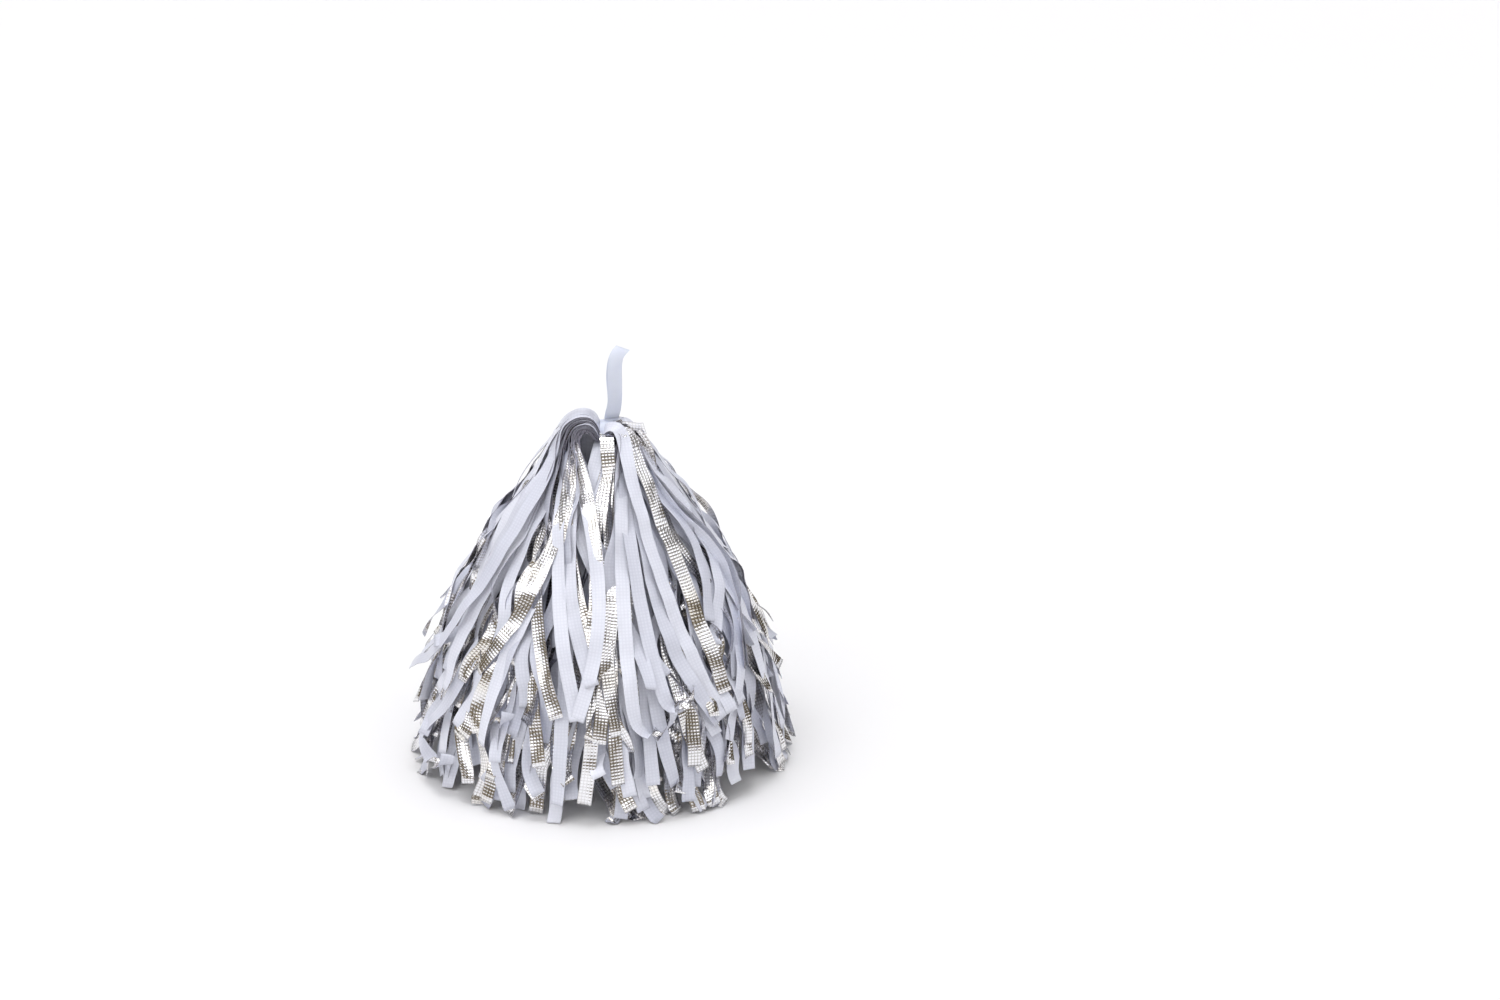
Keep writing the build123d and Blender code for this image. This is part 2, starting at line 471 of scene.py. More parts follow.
def grid_height(tree):
    """An embossed grid of small pillows, from the strips' texture coordinates in millimetres."""
    uv = node(tree, "ShaderNodeUVMap", uv_map="strip")
    split = node(tree, "ShaderNodeSeparateXYZ")
    tree.links.new(uv.outputs[0], split.inputs[0])
    waves = []
    for axis in (0, 1):
        turn = maths(tree, "MULTIPLY", split.outputs[axis], math.pi / EMBOSS_PITCH)
        waves.append(maths(tree, "ABSOLUTE", maths(tree, "SINE", turn)))
    return maths(tree, "MULTIPLY", waves[0], waves[1])


def noise(tree, scale, detail=3.0):
    """A noise over the object; scale is in waves for each metre."""
    place = node(tree, "ShaderNodeTexCoord")
    made = node(tree, "ShaderNodeTexNoise")
    made.inputs["Scale"].default_value = scale
    made.inputs["Detail"].default_value = detail
    tree.links.new(place.outputs["Object"], made.inputs["Vector"])
    return made.outputs["Fac"]


def ramp(tree, factor, stops):
    """A colour from a factor, by stops of place and colour."""
    made = node(tree, "ShaderNodeValToRGB")
    elements = made.color_ramp.elements
    while len(elements) < len(stops):
        elements.new(0.5)
    for element, (place, colour) in zip(elements, stops):
        element.position = place
        element.color = (*colour, 1)
    tree.links.new(factor, made.inputs[0])
    return made.outputs[0]


def bump(tree, height, distance, under=None):
    """A normal bumped by a height of 0 to 1 times a distance in metres, on top of the normal under it."""
    made = node(tree, "ShaderNodeBump")
    made.inputs["Distance"].default_value = distance
    tree.links.new(height, made.inputs["Height"])
    if under is not None:
        tree.links.new(under, made.inputs["Normal"])
    return made.outputs[0]


def mix_colours(tree, factor, first, second):
    """A mix of two colours; either is a socket or three numbers."""
    made = node(tree, "ShaderNodeMix", data_type="RGBA")
    tree.links.new(factor, made.inputs["Factor"])
    for socket, value in ((made.inputs[6], first), (made.inputs[7], second)):
        if isinstance(value, tuple):
            socket.default_value = (*value, 1)
        else:
            tree.links.new(value, socket)
    return made.outputs[2]


def grey(value):
    return (value, value, value)


DULL_SILVER = (0.80, 0.80, 0.83)
BRIGHT_SILVER = (0.95, 0.95, 0.97)
# the gold tint is a painted warm reflection, mixed into the foil's colour by a noise mask
PAINTED_WARM_REFLECTION = (0.88, 0.78, 0.55)
PAINTED_REFLECTION_SHARE = 0.35
# painted shade laid into the embossed grid's grooves
GROOVE_SHADE = (0.42, 0.40, 0.39)


def silver_foil():
    """Metallised film with a fine embossed grid, its grooves darkened by painted shade, and here and there
    tinted gold as a painted warm reflection.
    """
    material, tree, shader = new_material("silver_foil")
    grid = grid_height(tree)
    silver = ramp(tree, noise(tree, 24.0), [(0.3, DULL_SILVER), (0.7, BRIGHT_SILVER)])
    # painted reflection: a noise mask mixes a warm gold tint into the silver
    warm_reflection_mask = ramp(tree, noise(tree, 34.0), [(0.5, grey(0.0)), (0.7, grey(1.0))])
    silver_and_reflection = mix_colours(tree, maths(tree, "MULTIPLY", warm_reflection_mask, PAINTED_REFLECTION_SHARE), silver, PAINTED_WARM_REFLECTION)
    # painted shade: the grid's grooves are darkened in the colour, broken up by a noise mask
    groove_shade_mask = ramp(tree, grid, [(0.05, grey(0.9)), (0.45, grey(0.0))])
    groove_shade_breakup = ramp(tree, noise(tree, 45.0), [(0.35, grey(0.4)), (0.6, grey(1.0))])
    foil_with_painted_shade = mix_colours(tree, maths(tree, "MULTIPLY", groove_shade_mask, groove_shade_breakup), silver_and_reflection, GROOVE_SHADE)
    tree.links.new(foil_with_painted_shade, shader.inputs["Base Color"])
    shader.inputs["Metallic"].default_value = 1.0
    shader.inputs["Roughness"].default_value = 0.16
    crease = bump(tree, noise(tree, 90.0, 1.0), 0.0002)
    tree.links.new(bump(tree, grid, 0.00008, under=crease), shader.inputs["Normal"])
    return material


SHADED_WHITE = (0.52, 0.54, 0.64)
CLEAR_WHITE = (0.82, 0.84, 0.93)


def white_film():
    """The strips' satin white back, lighter or darker by strip, with the grid faintly pressed through as a
    bump and as painted shade in its grooves.
    """
    material, tree, shader = new_material("white_film")
    grid = grid_height(tree)
    tone = node(tree, "ShaderNodeAttribute", attribute_name="tone")
    mixed = maths(tree, "ADD", maths(tree, "MULTIPLY", noise(tree, 30.0), 0.35), tone.outputs["Fac"])
    # painted shade: the grid's grooves are left darker and its pillows lighter in the colour
    mixed = maths(tree, "ADD", mixed, maths(tree, "MULTIPLY", grid, 0.2))
    colour = ramp(tree, mixed, [(0.1, SHADED_WHITE), (1.0, CLEAR_WHITE)])
    tree.links.new(colour, shader.inputs["Base Color"])
    shader.inputs["Roughness"].default_value = 0.33
    crease = bump(tree, noise(tree, 150.0, 2.0), 0.0003)
    tree.links.new(bump(tree, grid, 0.00004, under=crease), shader.inputs["Normal"])
    return material


def shaded_edge():
    """The strips' cut edges, painted a dark lavender grey: painted shade that deepens the gaps between
    strips.
    """
    material, _, shader = new_material("shaded_edge")
    shader.inputs["Base Color"].default_value = (0.27, 0.26, 0.32, 1)
    shader.inputs["Roughness"].default_value = 0.6
    return material


def strap_film():
    """The strap's softer, slightly translucent white film."""
    material, tree, shader = new_material("strap_film")
    thick, thin = (0.64, 0.68, 0.79), (0.72, 0.76, 0.86)
    colour = ramp(tree, noise(tree, 60.0), [(0.3, thick), (0.7, thin)])
    tree.links.new(colour, shader.inputs["Base Color"])
    shader.inputs["Roughness"].default_value = 0.38
    shader.inputs["Subsurface Weight"].default_value = 0.3
    shader.inputs["Subsurface Radius"].default_value = (0.002, 0.002, 0.0025)
    tree.links.new(bump(tree, noise(tree, 180.0), 0.0002), shader.inputs["Normal"])
    return material


FOIL = silver_foil()
FILM = white_film()
EDGE = shaded_edge()
STRAP = strap_film()


# ---- the strips of each hank ----

SECTOR_STEP = 360.0 / SECTORS
LAYERS = {  # from the outermost inwards; lengths run from the crown
    "outer": {
        "strips": 9,
        "fewer": {11: 6, 12: 1, 1: 1, 2: 6},  # by sector, where the placed strips lie
        "lengths": (150, 204),
        "spacing": 3.0,  # between the points along a strip
        "white": 0.96,  # the share of strips with their white side out at the crown
        "seed": 15,
    },
    "middle": {
        "strips": 10,
        "fewer": {12: 6, 1: 6},
        "lengths": (182, 236),
        "spacing": 3.5,
        "white": 0.7,
        "seed": 12,
    },
    "inner": {
        "strips": 12,
        "fewer": {},
        "lengths": (216, 258),
        "spacing": 4.0,
        "white": 0.5,
        "seed": 13,
    },
}
HANK_DEPTH = 7.0  # between a hank's outermost strips and its innermost
CROWN_SHARE = 0.85  # the share of a sector's width that its strips take at the crown
END_SHARE = 1.2  # and at their ends
CALM_SHARE = 0.55  # the share of strips that twist little
STEADY_SHARE = 0.6  # and the share that don't turn over


def sector_of(azimuth):
    return int(((azimuth + 90) % 360) // SECTOR_STEP) + 1


def sector_middle(sector):
    return -90 + SECTOR_STEP * (sector - 0.5)


def hanging(rng, depth, liveliness):
    """How a strip hangs: the sizes of its bends, how it twists, and where it turns over."""
    return {
        "end_depth": depth * rng.uniform(0.1, 0.9) - 3.0,
        "sway": rng.uniform(2.0, 9.0),
        "swell": rng.uniform(0.5, 3.0),
        "kick": rng.normal(4.0, 7.0),
        "splay": rng.uniform(-6, 14),
        "calm": rng.uniform(20, 60),
        "twist": wave(rng, 18.0 if liveliness < CALM_SHARE else rng.uniform(35, 65), rng.uniform(140, 230)),
        "flip": rng.choice([-180, 180]) if liveliness > STEADY_SHARE else 0,
        "flip_at": rng.uniform(30, 120),
    }


def random_strip(rng, sheaf, name, layer, middle, share, slot, length, lock):
    """One strip of a hank: share places it across the hank, slot through its thickness."""
    azimuth = middle + share * SECTOR_STEP * CROWN_SHARE
    central = abs(math.cos(math.radians(azimuth))) < CENTRAL
    forward = abs(math.sin(math.radians(azimuth)))
    depth = layer * LAYER_PITCH + slot * HANK_DEPTH
    stack = np.clip((layer + slot) / len(LAYERS) + rng.uniform(-0.03, 0.03), 0.0, 1.0)
    liveliness = rng.random()
    face = WHITE_OUT if rng.random() < LAYERS[name]["white"] else SILVER_OUT
    crown, side = crown_rows(azimuth, stack, face, rng)
    spec = {
        "azimuth": azimuth,
        "end_azimuth": middle + share * SECTOR_STEP * END_SHARE + rng.normal(0, 7.0),
        "side": side,
        "unroll": 1.0 if central else 20 + 80 * forward,
        "join": 16.0 + 14.0 * forward,
        "length": length,
        "depth": depth,
        "face": face,
    }
    spec.update(hanging(rng, depth, liveliness))
    rows = np.vstack([np.array(crown, float), skirt_rows(spec, lock, rng)])
    crinkle, curl, tone = rng.uniform(0.5, 1.4), rng.uniform(-0.7, 0.7), rng.uniform(0.0, 0.8)
    add_strip(sheaf, rng, rows, LAYERS[name]["spacing"], crinkle, curl, tone)


def new_lock(rng):
    """The shared movement of strips that hang together."""
    return {
        "sway": wave(rng, rng.uniform(3.0, 9.0), rng.uniform(140, 240)),
        "swell": wave(rng, rng.uniform(1.0, 4.0), rng.uniform(120, 200)),
        "twist": wave(rng, rng.uniform(5.0, 30.0), rng.uniform(150, 240)),
    }


def hank_strips(rng, name, layer, sector):
    """The random strips of one hank, which hang in two locks."""
    sheaf = Sheaf()
    count = LAYERS[name]["fewer"].get(sector, LAYERS[name]["strips"])
    locks = [new_lock(rng), new_lock(rng)]
    slots = rng.permutation(count)
    for k in range(count):
        share = (k + 0.5) / count - 0.5
        length = rng.uniform(*LAYERS[name]["lengths"])
        slot = (slots[k] + rng.uniform(0, 0.5)) / count
        lock = locks[2 * k // count]
        random_strip(rng, sheaf, name, layer, sector_middle(sector), share, slot, length, lock)
    return sheaf


# ---- the placed strips, which give the front its look ----

OVER_THE_TOP = [  # rows, without the turn, of a strip over the right lobe that faces the front
    (4, -4, 221, 0, -1, 0), (3, -8.5, 226.5, 0, -1, -0.2), (5.5, -11, 230, 0, -0.85, -0.4),
    (10.5, -12.5, 231.5, -0.4, -0.8, -0.4), (14.5, -14.5, 228.5, -0.8, -0.5, -0.3),
    (17, -17, 221.5, -0.95, -0.3, 0),
]
BESIDE_IT = [  # and of the one on its right
    (7, -3, 219, 0, -1, 0), (8, -7, 225, 0, -1, -0.2), (12, -10, 228.5, -0.2, -0.85, -0.4),
    (17, -12, 228.5, -0.6, -0.75, -0.3), (21, -14, 224, -0.8, -0.5, -0.2), (24, -16.5, 217, -0.95, -0.3, 0),
]
UNDER_THE_TIE = [  # and of the silver one that comes out from under the tie
    (5, 0, 221, -1, 0, 0), (5, -9, 227, -1, 0, 0), (5.5, -17, 225.5, -1, 0, 0), (6, -22, 219, -1, 0, 0),
    (6.5, -24, 211, -1, 0, 0), (7.5, -27, 203, -1, 0, 0), (9, -33, 195, -1, 0, 0), (10, -39, 187, -1, 0, 0),
    (11, -42.5, 179, -1, 0, 0), (12, -46, 170, -1, 0, 0),
]
PLACED_STRIPS = [  # how a strip leaves the crown, its face, and its way down the front
    (OVER_THE_TOP, WHITE_OUT, dict(x=(20, 80), height=(210, 60), bow=-4, out=(3, 7))),
    (BESIDE_IT, SILVER_OUT, dict(x=(28, 82), height=(208, 75), bow=2, out=(2, 7), turn=(-10, -20))),
    (UNDER_THE_TIE, SILVER_OUT, dict(x=(14, 20), height=(160, 120), bow=0, out=(-12, -8))),
    ((-125, 0.6), WHITE_OUT, dict(x=(-20, 0), height=(195, 105), bow=-5, out=(4, 0), turn=(-150, -180))),
    ((-105, 0.2), SILVER_OUT, dict(x=(-10, -5), height=(205, 105), bow=8, out=(-6, 2))),
    ((-120, 0.2), SILVER_OUT, dict(x=(-16, -76), height=(200, 90), bow=7, out=(-2, 9))),
    ((-118, 0.35), WHITE_OUT, dict(x=(-24, -12), height=(190, 70), bow=-5, out=(1, 8))),
    ((-112, 0.4), WHITE_OUT, dict(x=(-16, -2), height=(185, 90), bow=-7, out=(0, 5))),
    ((-165, 0.0), WHITE_OUT, dict(x=(-30, -125), height=(208, 62), bow=0, out=(2, 16))),
    ((-150, 0.0), WHITE_OUT, dict(x=(-28, -98), height=(214, 80), bow=-9, out=(2, 6))),
    ((-150, 0.3), WHITE_OUT, dict(x=(-44, -100), height=(175, 70), bow=-7, out=(1, 9))),
    ((-125, 0.7), SILVER_OUT, dict(x=(-36, -25), height=(170, 70), bow=-7, out=(-2, 6))),
    ((-128, 0.6), WHITE_OUT, dict(x=(-30, -74), height=(150, 45), bow=-8, out=(-2, 8))),
    ((-125, 0.8), WHITE_OUT, dict(x=(-38, -70), height=(145, 68), bow=0, out=(-4, 5), hook=7)),
    ((-100, 0.5), WHITE_OUT, dict(x=(-4, -12), height=(180, 70), bow=10, out=(-3, 8))),
    ((-75, 0.9), SILVER_OUT, dict(x=(14, 2), height=(170, 55), bow=0, out=(-8, 6))),
    ((-78, 0.9), SILVER_OUT, dict(x=(6, 14), height=(140, 60), bow=-3, out=(-6, 5))),
    ((-95, 0.95), SILVER_OUT, dict(x=(0, -8), height=(110, 15), bow=2, out=(-10, 6))),
    ((-85, 0.95), SILVER_OUT, dict(x=(8, 14), height=(110, 28), bow=0, out=(-10, 5))),
    ((-72, 0.8), WHITE_OUT, dict(x=(28, 36), height=(120, 26), bow=0, out=(-8, 5))),
    ((-66, 0.8), WHITE_OUT, dict(x=(33, 50), height=(120, 24), bow=-3, out=(-8, 7))),
    ((-58, 0.9), SILVER_OUT, dict(x=(40, 68), height=(140, 30), bow=-4, out=(-9, 7))),
    ((-54, 0.9), SILVER_OUT, dict(x=(44, 62), height=(140, 34), bow=5, out=(-9, 7))),
    ((-70, 0.4), WHITE_OUT, dict(x=(15, 24), height=(195, 72), bow=-2, out=(-2, 9), hook=13)),
    ((-72, 0.6), WHITE_OUT, dict(x=(18, 42), height=(190, 84), bow=-2, out=(-2, 9), hook=10)),
    ((-62, 0.3), WHITE_OUT, dict(x=(28, 78), height=(180, 58), bow=-9, out=(0, 7))),
    ((-40, 0.2), WHITE_OUT, dict(x=(38, 72), height=(195, 118), bow=9, out=(1, 6))),
    ((-35, 0.4), WHITE_OUT, dict(x=(46, 75), height=(190, 104), bow=14, out=(0, 5))),
    ((-30, 0.5), WHITE_OUT, dict(x=(60, 84), height=(170, 44), bow=18, out=(-3, 6))),
    ((-20, 0.2), WHITE_OUT, dict(x=(60, 116), height=(170, 14), bow=13, out=(2, 6))),
    ((-25, 0.0), SILVER_OUT, dict(x=(38, 96), height=(196, 84), bow=14, out=(4, 6), turn=(80, 50))),
    ((-12, 0.0), SILVER_OUT, dict(x=(36, 94), height=(200, 84), bow=18, out=(5, 7), turn=(75, 45))),
    ((-102, 0.9), WHITE_OUT, dict(x=(-18, -25), height=(120, 14), bow=0, out=(-8, 6))),
    ((-110, 0.95), SILVER_OUT, dict(x=(-38, -36), height=(110, 38), bow=-3, out=(-8, 5))),
    ((-118, 0.95), WHITE_OUT, dict(x=(-60, -56), height=(80, 6), bow=-8, out=(-8, 7))),
    ((-150, 0.8), WHITE_OUT, dict(x=(-70, -118), height=(110, 28), bow=0, out=(-6, 8), hook=11)),
]

PLACED_TWIST = 22.0
PLACED_TWIST_WAVE = 130.0
PLACED_TWIST_GROWS = 60.0  # a placed strip's twist is full this far under the shoulder
PLACED_CRINKLE = 1.1


def placed_strip(rng, start, face, way_down):
    """A placed strip's rows, and the sector that it belongs to; start is rows, or azimuth and stack."""
    if isinstance(start, list):
        crown = [row + (face,) for row in start]
    else:
        crown, _ = crown_rows(*start, face, rng)
    rows = np.vstack([np.array(crown, float), front_rows(face, **way_down)])
    x, y = rows[len(crown) + FRONT_STEPS // 2][:2]
    down = SHOULDER[1] - rows[:, 2]
    rows[:, 6] += wave(rng, PLACED_TWIST, PLACED_TWIST_WAVE)(down) * smoothstep(down / PLACED_TWIST_GROWS)
    return rows, sector_of(math.degrees(math.atan2(y, x)))


def add_placed_strips(rng, sheafs):
    """Adds the placed strips to the outer hanks that they lie in."""
    spacing = LAYERS["outer"]["spacing"]
    for start, face, way_down in PLACED_STRIPS:
        rows, sector = placed_strip(rng, start, face, way_down)
        curl, tone = rng.uniform(-0.5, 0.5), rng.uniform(0.2, 0.7)
        add_strip(sheafs[sector], rng, rows, spacing, PLACED_CRINKLE, curl, tone)


# ---- the hanks' pieces ----


def place_layer(name, layer):
    """Builds a layer's pieces; the inner layer's are attached to the root, the others keep their place with
    the transform baked in.
    """
    rng = np.random.default_rng(LAYERS[name]["seed"])
    sheafs = {sector: hank_strips(rng, name, layer, sector) for sector in range(1, SECTORS + 1)}
    if name == "outer":
        add_placed_strips(rng, sheafs)
    for sector, sheaf in sheafs.items():
        piece = sheaf.build(f"{name}_strips_{sector:02d}", [FOIL, FILM, EDGE])
        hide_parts(f"{name}_hank_{sector:02d}")
        if name == "inner":
            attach(piece, "root")
            continue
        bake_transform(piece)


for layer_number, layer_name in enumerate(LAYERS):
    place_layer(layer_name, layer_number)


# ---- the middle: tassel, tied waist and crown ----


def place_still(sheaf, name):
    """Builds a piece that stands for a CAD node and doesn't move."""
    piece = sheaf.build(f"{name}_strips", [FOIL, FILM, EDGE])
    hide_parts(name)
    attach(piece, "root")


TASSEL_STRIPS = 16
GOLDEN_ANGLE = 137.5  # degrees from one strip to the next, which spreads them evenly
TASSEL_HEIGHTS = (TIE_HEIGHT - 11.0, 3.0)
TASSEL_TOP_RADIUS = 3.0
TASSEL_ROWS = 12
TASSEL_LENGTH = 200.0


def tassel():
    """The innermost strips, which hang straight down and spread on the floor."""
    rng = np.random.default_rng(21)
    sheaf = Sheaf()
    for k in range(TASSEL_STRIPS):
        a = math.radians(k * GOLDEN_ANGLE)
        foot = rng.uniform(8, 40)
        twist = wave(rng, 60.0, 160.0)
        rows = []
        for t in np.linspace(0, 1, TASSEL_ROWS):
            r = TASSEL_TOP_RADIUS + foot * t**1.3
            place = (r * math.cos(a), r * math.sin(a), between(TASSEL_HEIGHTS, t))
            rows.append(place + (math.sin(a), -math.cos(a), 0.0, twist(TASSEL_LENGTH * t)))
        add_strip(sheaf, rng, rows, spacing=6.0, crinkle=0.6, curl=0.3, tone=0.4)
    place_still(sheaf, "centre_tassel")


WAIST_STRIPS = 9
WAIST_PITCH = 1.5
WAIST_TOP = TIE_HEIGHT + 6.5
WAIST_X = range(-3, 15, 3)


def waist():
    """The strips' squeezed middles, which pass through the tie along X."""
    rng = np.random.default_rng(22)
    sheaf = Sheaf()
    for k in range(WAIST_STRIPS):
        face = WHITE_OUT if k % 2 else SILVER_OUT
        rows = []
        for x in WAIST_X:
            z = WAIST_TOP - WAIST_PITCH * k + 0.6 * math.sin(x)
            rows.append((x, rng.uniform(-1.5, 1.5), z, 0.0, -1.0, 0.0, face))
        add_strip(sheaf, rng, rows, spacing=2.5, crinkle=0.1, curl=0.2, tone=0.4)
    place_still(sheaf, "gathered_waist")


CROWN_LEVELS = 5  # the crown's own strips lie at this many places in the stack


def short_strip(rng, sheaf, azimuth, level):
    """A short strip that fills a lobe of the crown."""
    stack = 0.1 + 0.8 * level / (CROWN_LEVELS - 1)
    crown, side = crown_rows(azimuth, stack, WHITE_OUT, rng)
    spec = {
        "azimuth": azimuth,
        "end_azimuth": azimuth + 4,
        "side": side,
        "unroll": 60.0,
        "join": 18.0,
        "length": 80.0,
        "depth": 4.0 + 3.0 * level,
        "end_depth": 24.0,
        "sway": 1.0,
        "swell": 0.5,
        "kick": 0.0,
        "splay": 0.0,
        "calm": 40.0,
        "face": WHITE_OUT,
        "twist": wave(rng, 10, 150),
        "flip": 0,
        "flip_at": 0,
    }
    rows = np.vstack([np.array(crown, float), skirt_rows(spec, new_lock(rng), rng)])
    add_strip(sheaf, rng, rows, spacing=3.0, crinkle=0.3, curl=0.1, tone=0.5)


HOLLOW_STRIPS = 4
HOLLOW_PITCH = 2.5
HOLLOW_WAY = (  # share of the strip's x, y, height, tip of the width direction, and turn
    (1.0, 2, 222, 0.2, 180), (1.0, 1, 212, 0.1, 180), (1.1, 0, 200, 0, 200), (1.2, -2, 188, 0, 220),
)


def hollow_strips(sheaf, rng, side):
    """Strips that hang inside a lobe and fill its hollow."""
    hollow_x = sum(LOBES[side]["hollow"]) / 2
    for k in range(HOLLOW_STRIPS):
        x = hollow_x + side * (HOLLOW_PITCH * k - 4)
        rows = [(between((x, TIE_X), 0.4), 2 + k, TIE_HEIGHT + 7, -1, 0, 0, WHITE_OUT)]
        for share, y, z, tip, turn in HOLLOW_WAY:
            rows.append((x * share, y + k, z, -1, tip, 0, turn))
        # tone 0.2 makes these strips a darker white: painted shade for the hollow's inside
        add_strip(sheaf, rng, rows, spacing=3.0, crinkle=0.3, curl=0.3, tone=0.2)


TABS = (  # places along two short folded ends that stick out of the crown on the right
    [(14, -7, 228), (19, -9, 229.5), (25, -10, 228), (30, -11, 229)],
    [(22, -8, 227), (28, -11, 222), (32, -13, 214), (33.5, -14, 205), (34, -15, 198)],
)
TAB_FOLD = 226  # the height over which a tab is folded flat
FOLDED = (0.45, -0.3, 0.75)
HANGING = (0.9, -0.4, 0.2)


def crown_tabs(sheaf, rng):
    """The short folded ends on the right."""
    for tab in TABS:
        rows = []
        for place in tab:
            across = FOLDED if place[2] > TAB_FOLD else HANGING
            rows.append(place + across + (WHITE_OUT,))
        add_strip(sheaf, rng, rows, spacing=2.0, crinkle=0.1, curl=0.3, tone=0.4)


def crown(name, side, seed, azimuths):
    """A lobe of the crown."""
    rng = np.random.default_rng(seed)
    sheaf = Sheaf()
    for k, azimuth in enumerate(azimuths):
        short_strip(rng, sheaf, azimuth, k % CROWN_LEVELS)
    hollow_strips(sheaf, rng, side)
    if side > 0:
        crown_tabs(sheaf, rng)
    place_still(sheaf, name)


STRAP_ROWS = [  # x, y, height, how far the width direction tips down to the right, and turn, in degrees
    (8, 1.2, 231.5, 0, 0), (8, -1.6, 233, 0, 0), (10, -2.4, 239, 0, 0), (10.8, -4.4, 247, 0, 0),
    (11, -6.4, 257, 0, 0), (10.8, -6.2, 267, 2, 0), (11.2, -4.8, 273.5, 16, 5), (13, -3, 278, 45, 25),
    (17.6, 0, 280.8, 66, 50), (13.4, 3, 277.5, 40, 20), (10.8, 5, 271, 10, 0), (9.4, 6.8, 263, -4, 0),
    (9.2, 6.4, 255, 0, 0), (10.4, 4.4, 246, 3, 0), (10, 2.4, 239, 0, 0), (8, 1.6, 233.5, 0, 0),
    (8, -1.2, 231.2, 0, 0),
]


def strap():
    """The finger loop: one thin strap, creased over at the top."""
    rows = []
    for x, y, z, tip, turn in STRAP_ROWS:
        t = math.radians(tip)
        rows.append((x, y, z, math.cos(t), 0.0, -math.sin(t), turn))
    sheaf = Sheaf()
    add_strip(sheaf, np.random.default_rng(31), rows, spacing=1.5, crinkle=0.0, curl=0.3, tone=0.5)
    piece = sheaf.build("strap_loop", [STRAP, STRAP, STRAP])
    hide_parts("handle_loop")
    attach(piece, "handle")
    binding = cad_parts["binding_loop"]
    binding.data.materials.clear()
    binding.data.materials.append(STRAP)


tassel()
waist()
crown("crown_left", -1, 10, [180, 195, 165, 210, 150, 225, 135, 240, 120])
crown("crown_right", 1, 11, [0, 20, -20, 40, -40, 55, -55])
strap()


# ---- studio ----

PALE = (0.93, 0.93, 0.935)
FLOOR_HALF = 30.0  # half the floor's width, in metres like all of the studio


def aim(thing, place, target):
    """Puts a light or a camera in its place and points it at a target."""
    thing.location = place
    thing.rotation_euler = (Vector(target) - Vector(place)).to_track_quat("-Z", "Y").to_euler()


def key_light():
    data = bpy.data.lights.new("key", "AREA")
    data.shape = "RECTANGLE"
    data.size, data.size_y = (2.4, 2.4)
    data.energy = 20
    light = bpy.data.objects.new("key", data)
    bpy.context.scene.collection.objects.link(light)
    aim(light, (-1.6, -2.4, 3.2), (0, 0, 0.1))


def studio_floor():
    mesh = bpy.data.meshes.new("studio_floor")
    corners = [(x * FLOOR_HALF, y * FLOOR_HALF, 0) for x, y in ((-1, -1), (1, -1), (1, 1), (-1, 1))]
    mesh.from_pydata(corners, [], [(0, 1, 2, 3)])
    floor = bpy.data.objects.new("studio_floor", mesh)
    bpy.context.scene.collection.objects.link(floor)
    material, _, shader = new_material("pale_floor")
    shader.inputs["Base Color"].default_value = (*PALE, 1)
    shader.inputs["Roughness"].default_value = 0.7
    mesh.materials.append(material)


DARK = (0.13, 0.13, 0.14)
WARM = (0.18, 0.145, 0.095)
GREY = (0.5, 0.5, 0.52)
RING = (1.6, 1.6, 1.63)
OVERHEAD = (8.3, 8.3, 8.5)
ROOM = [  # elevation in degrees and brightness of the room round the pom pom, from below to overhead
    (-90, (0.80, 0.80, 0.82)),
    (-6, (0.45, 0.42, 0.38)),
    (2, WARM),
    (14, WARM),
    (20, GREY),
    (26, RING),
    (33, RING),
    (40, WARM),
    (47, DARK),
    (54, RING),
    (62, RING),
    (70, DARK),
    (76, WARM),
    (80, OVERHEAD),
    (90, OVERHEAD),
]


BRIGHTER_SIDE = (-0.5, -0.8, 0.3)  # the room is brighter to the front and the left
SIDE_GAIN = 0.35
LEAST_GAIN = 0.85


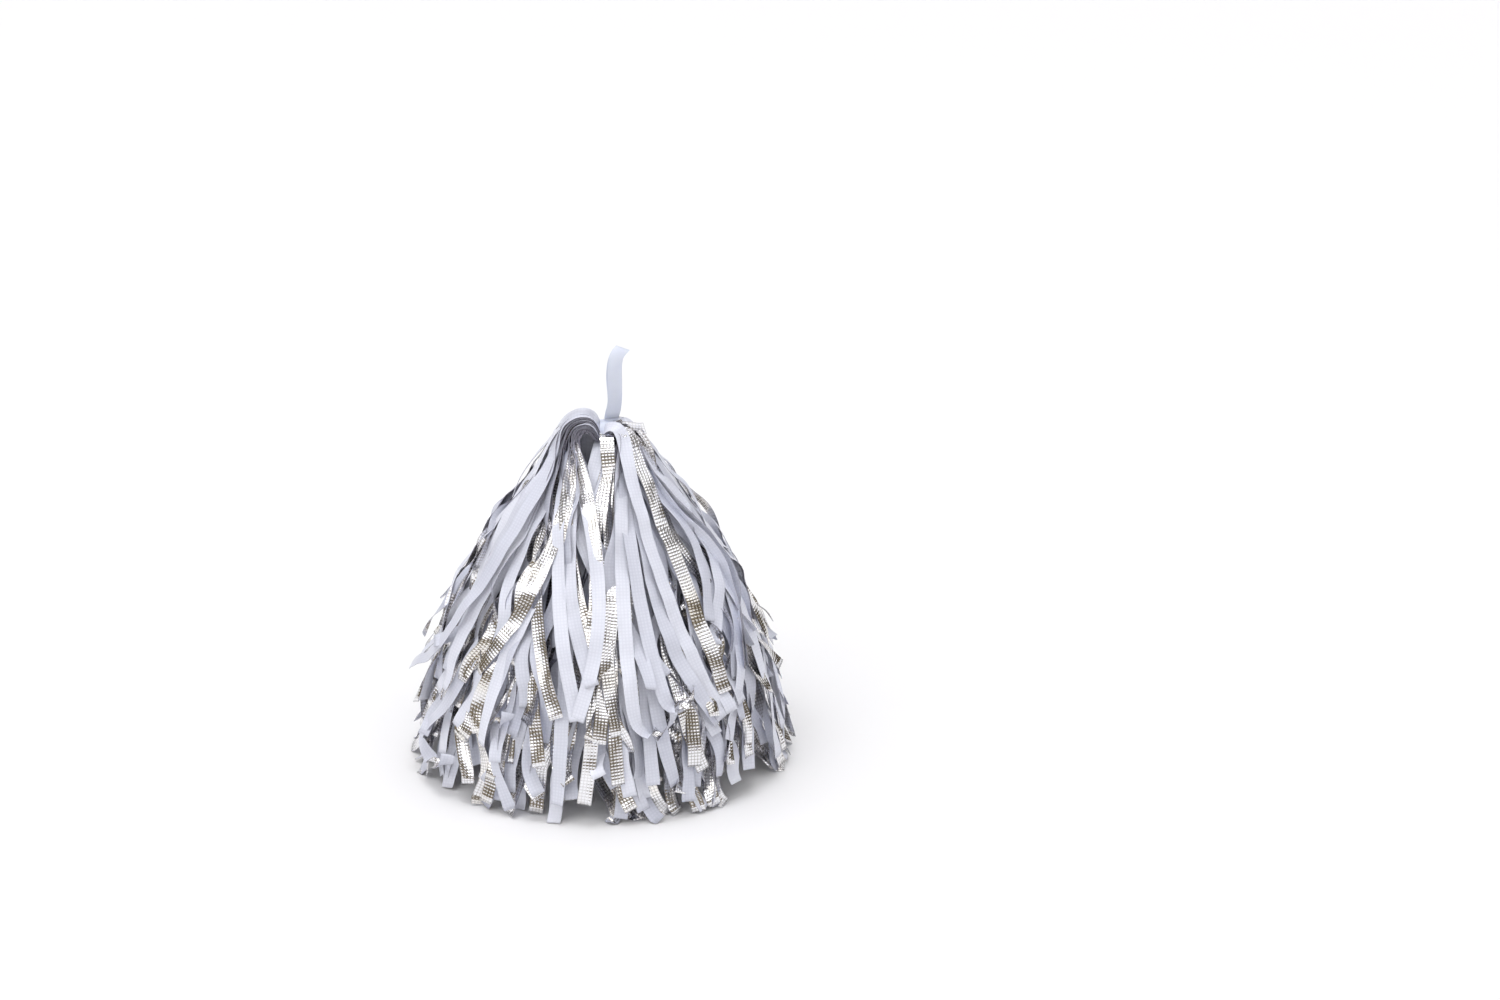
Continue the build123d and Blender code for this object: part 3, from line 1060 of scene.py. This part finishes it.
def studio_world():
    """A dim warm room with rings of soft light, which the foil reflects as bands across each strip."""
    world = bpy.data.worlds.new("studio")
    bpy.context.scene.world = world
    world.use_nodes = True
    tree = world.node_tree
    background = tree.nodes["Background"]
    direction = node(tree, "ShaderNodeTexCoord").outputs["Generated"]
    split = node(tree, "ShaderNodeSeparateXYZ")
    tree.links.new(direction, split.inputs[0])
    elevation = maths(tree, "ARCSINE", split.outputs[2])
    place = maths(tree, "ADD", maths(tree, "DIVIDE", elevation, math.pi), 0.5)
    peak = max(max(colour) for _, colour in ROOM)
    stops = [((angle + 90) / 180, tuple(c / peak for c in colour)) for angle, colour in ROOM]
    towards = node(tree, "ShaderNodeVectorMath", operation="DOT_PRODUCT")
    tree.links.new(direction, towards.inputs[0])
    towards.inputs[1].default_value = BRIGHTER_SIDE
    gain = maths(tree, "ADD", maths(tree, "MULTIPLY", towards.outputs["Value"], SIDE_GAIN), LEAST_GAIN)
    tree.links.new(ramp(tree, place, stops), background.inputs["Color"])
    tree.links.new(maths(tree, "MULTIPLY", gain, peak), background.inputs["Strength"])
    plain = node(tree, "ShaderNodeBackground")
    plain.inputs["Color"].default_value = (*PALE, 1)
    path = node(tree, "ShaderNodeLightPath")
    mix = node(tree, "ShaderNodeMixShader")
    tree.links.new(path.outputs["Is Camera Ray"], mix.inputs[0])
    tree.links.new(background.outputs[0], mix.inputs[1])
    tree.links.new(plain.outputs[0], mix.inputs[2])
    tree.links.new(mix.outputs[0], tree.nodes["World Output"].inputs["Surface"])


CAMERA_DISTANCE = 2.6
CAMERA_RISE = 20.0  # degrees over the level
VIEW_WIDTH = 0.975  # the width that the camera sees at its target
VIEW_CENTRE = (0.0975, 0.0, 0.176)  # the pom pom stands to the left of the view's middle


def camera():
    data = bpy.data.cameras.new("camera")
    data.sensor_width = 36.0
    data.lens = data.sensor_width * CAMERA_DISTANCE / VIEW_WIDTH
    view = bpy.data.objects.new("camera", data)
    bpy.context.scene.collection.objects.link(view)
    x, y, z = VIEW_CENTRE
    rise = math.radians(CAMERA_RISE)
    place = (x, y - CAMERA_DISTANCE * math.cos(rise), z + CAMERA_DISTANCE * math.sin(rise))
    aim(view, place, VIEW_CENTRE)
    bpy.context.scene.camera = view


studio_floor()
studio_world()
camera()
key_light()
bpy.context.scene.view_settings.view_transform = "Standard"
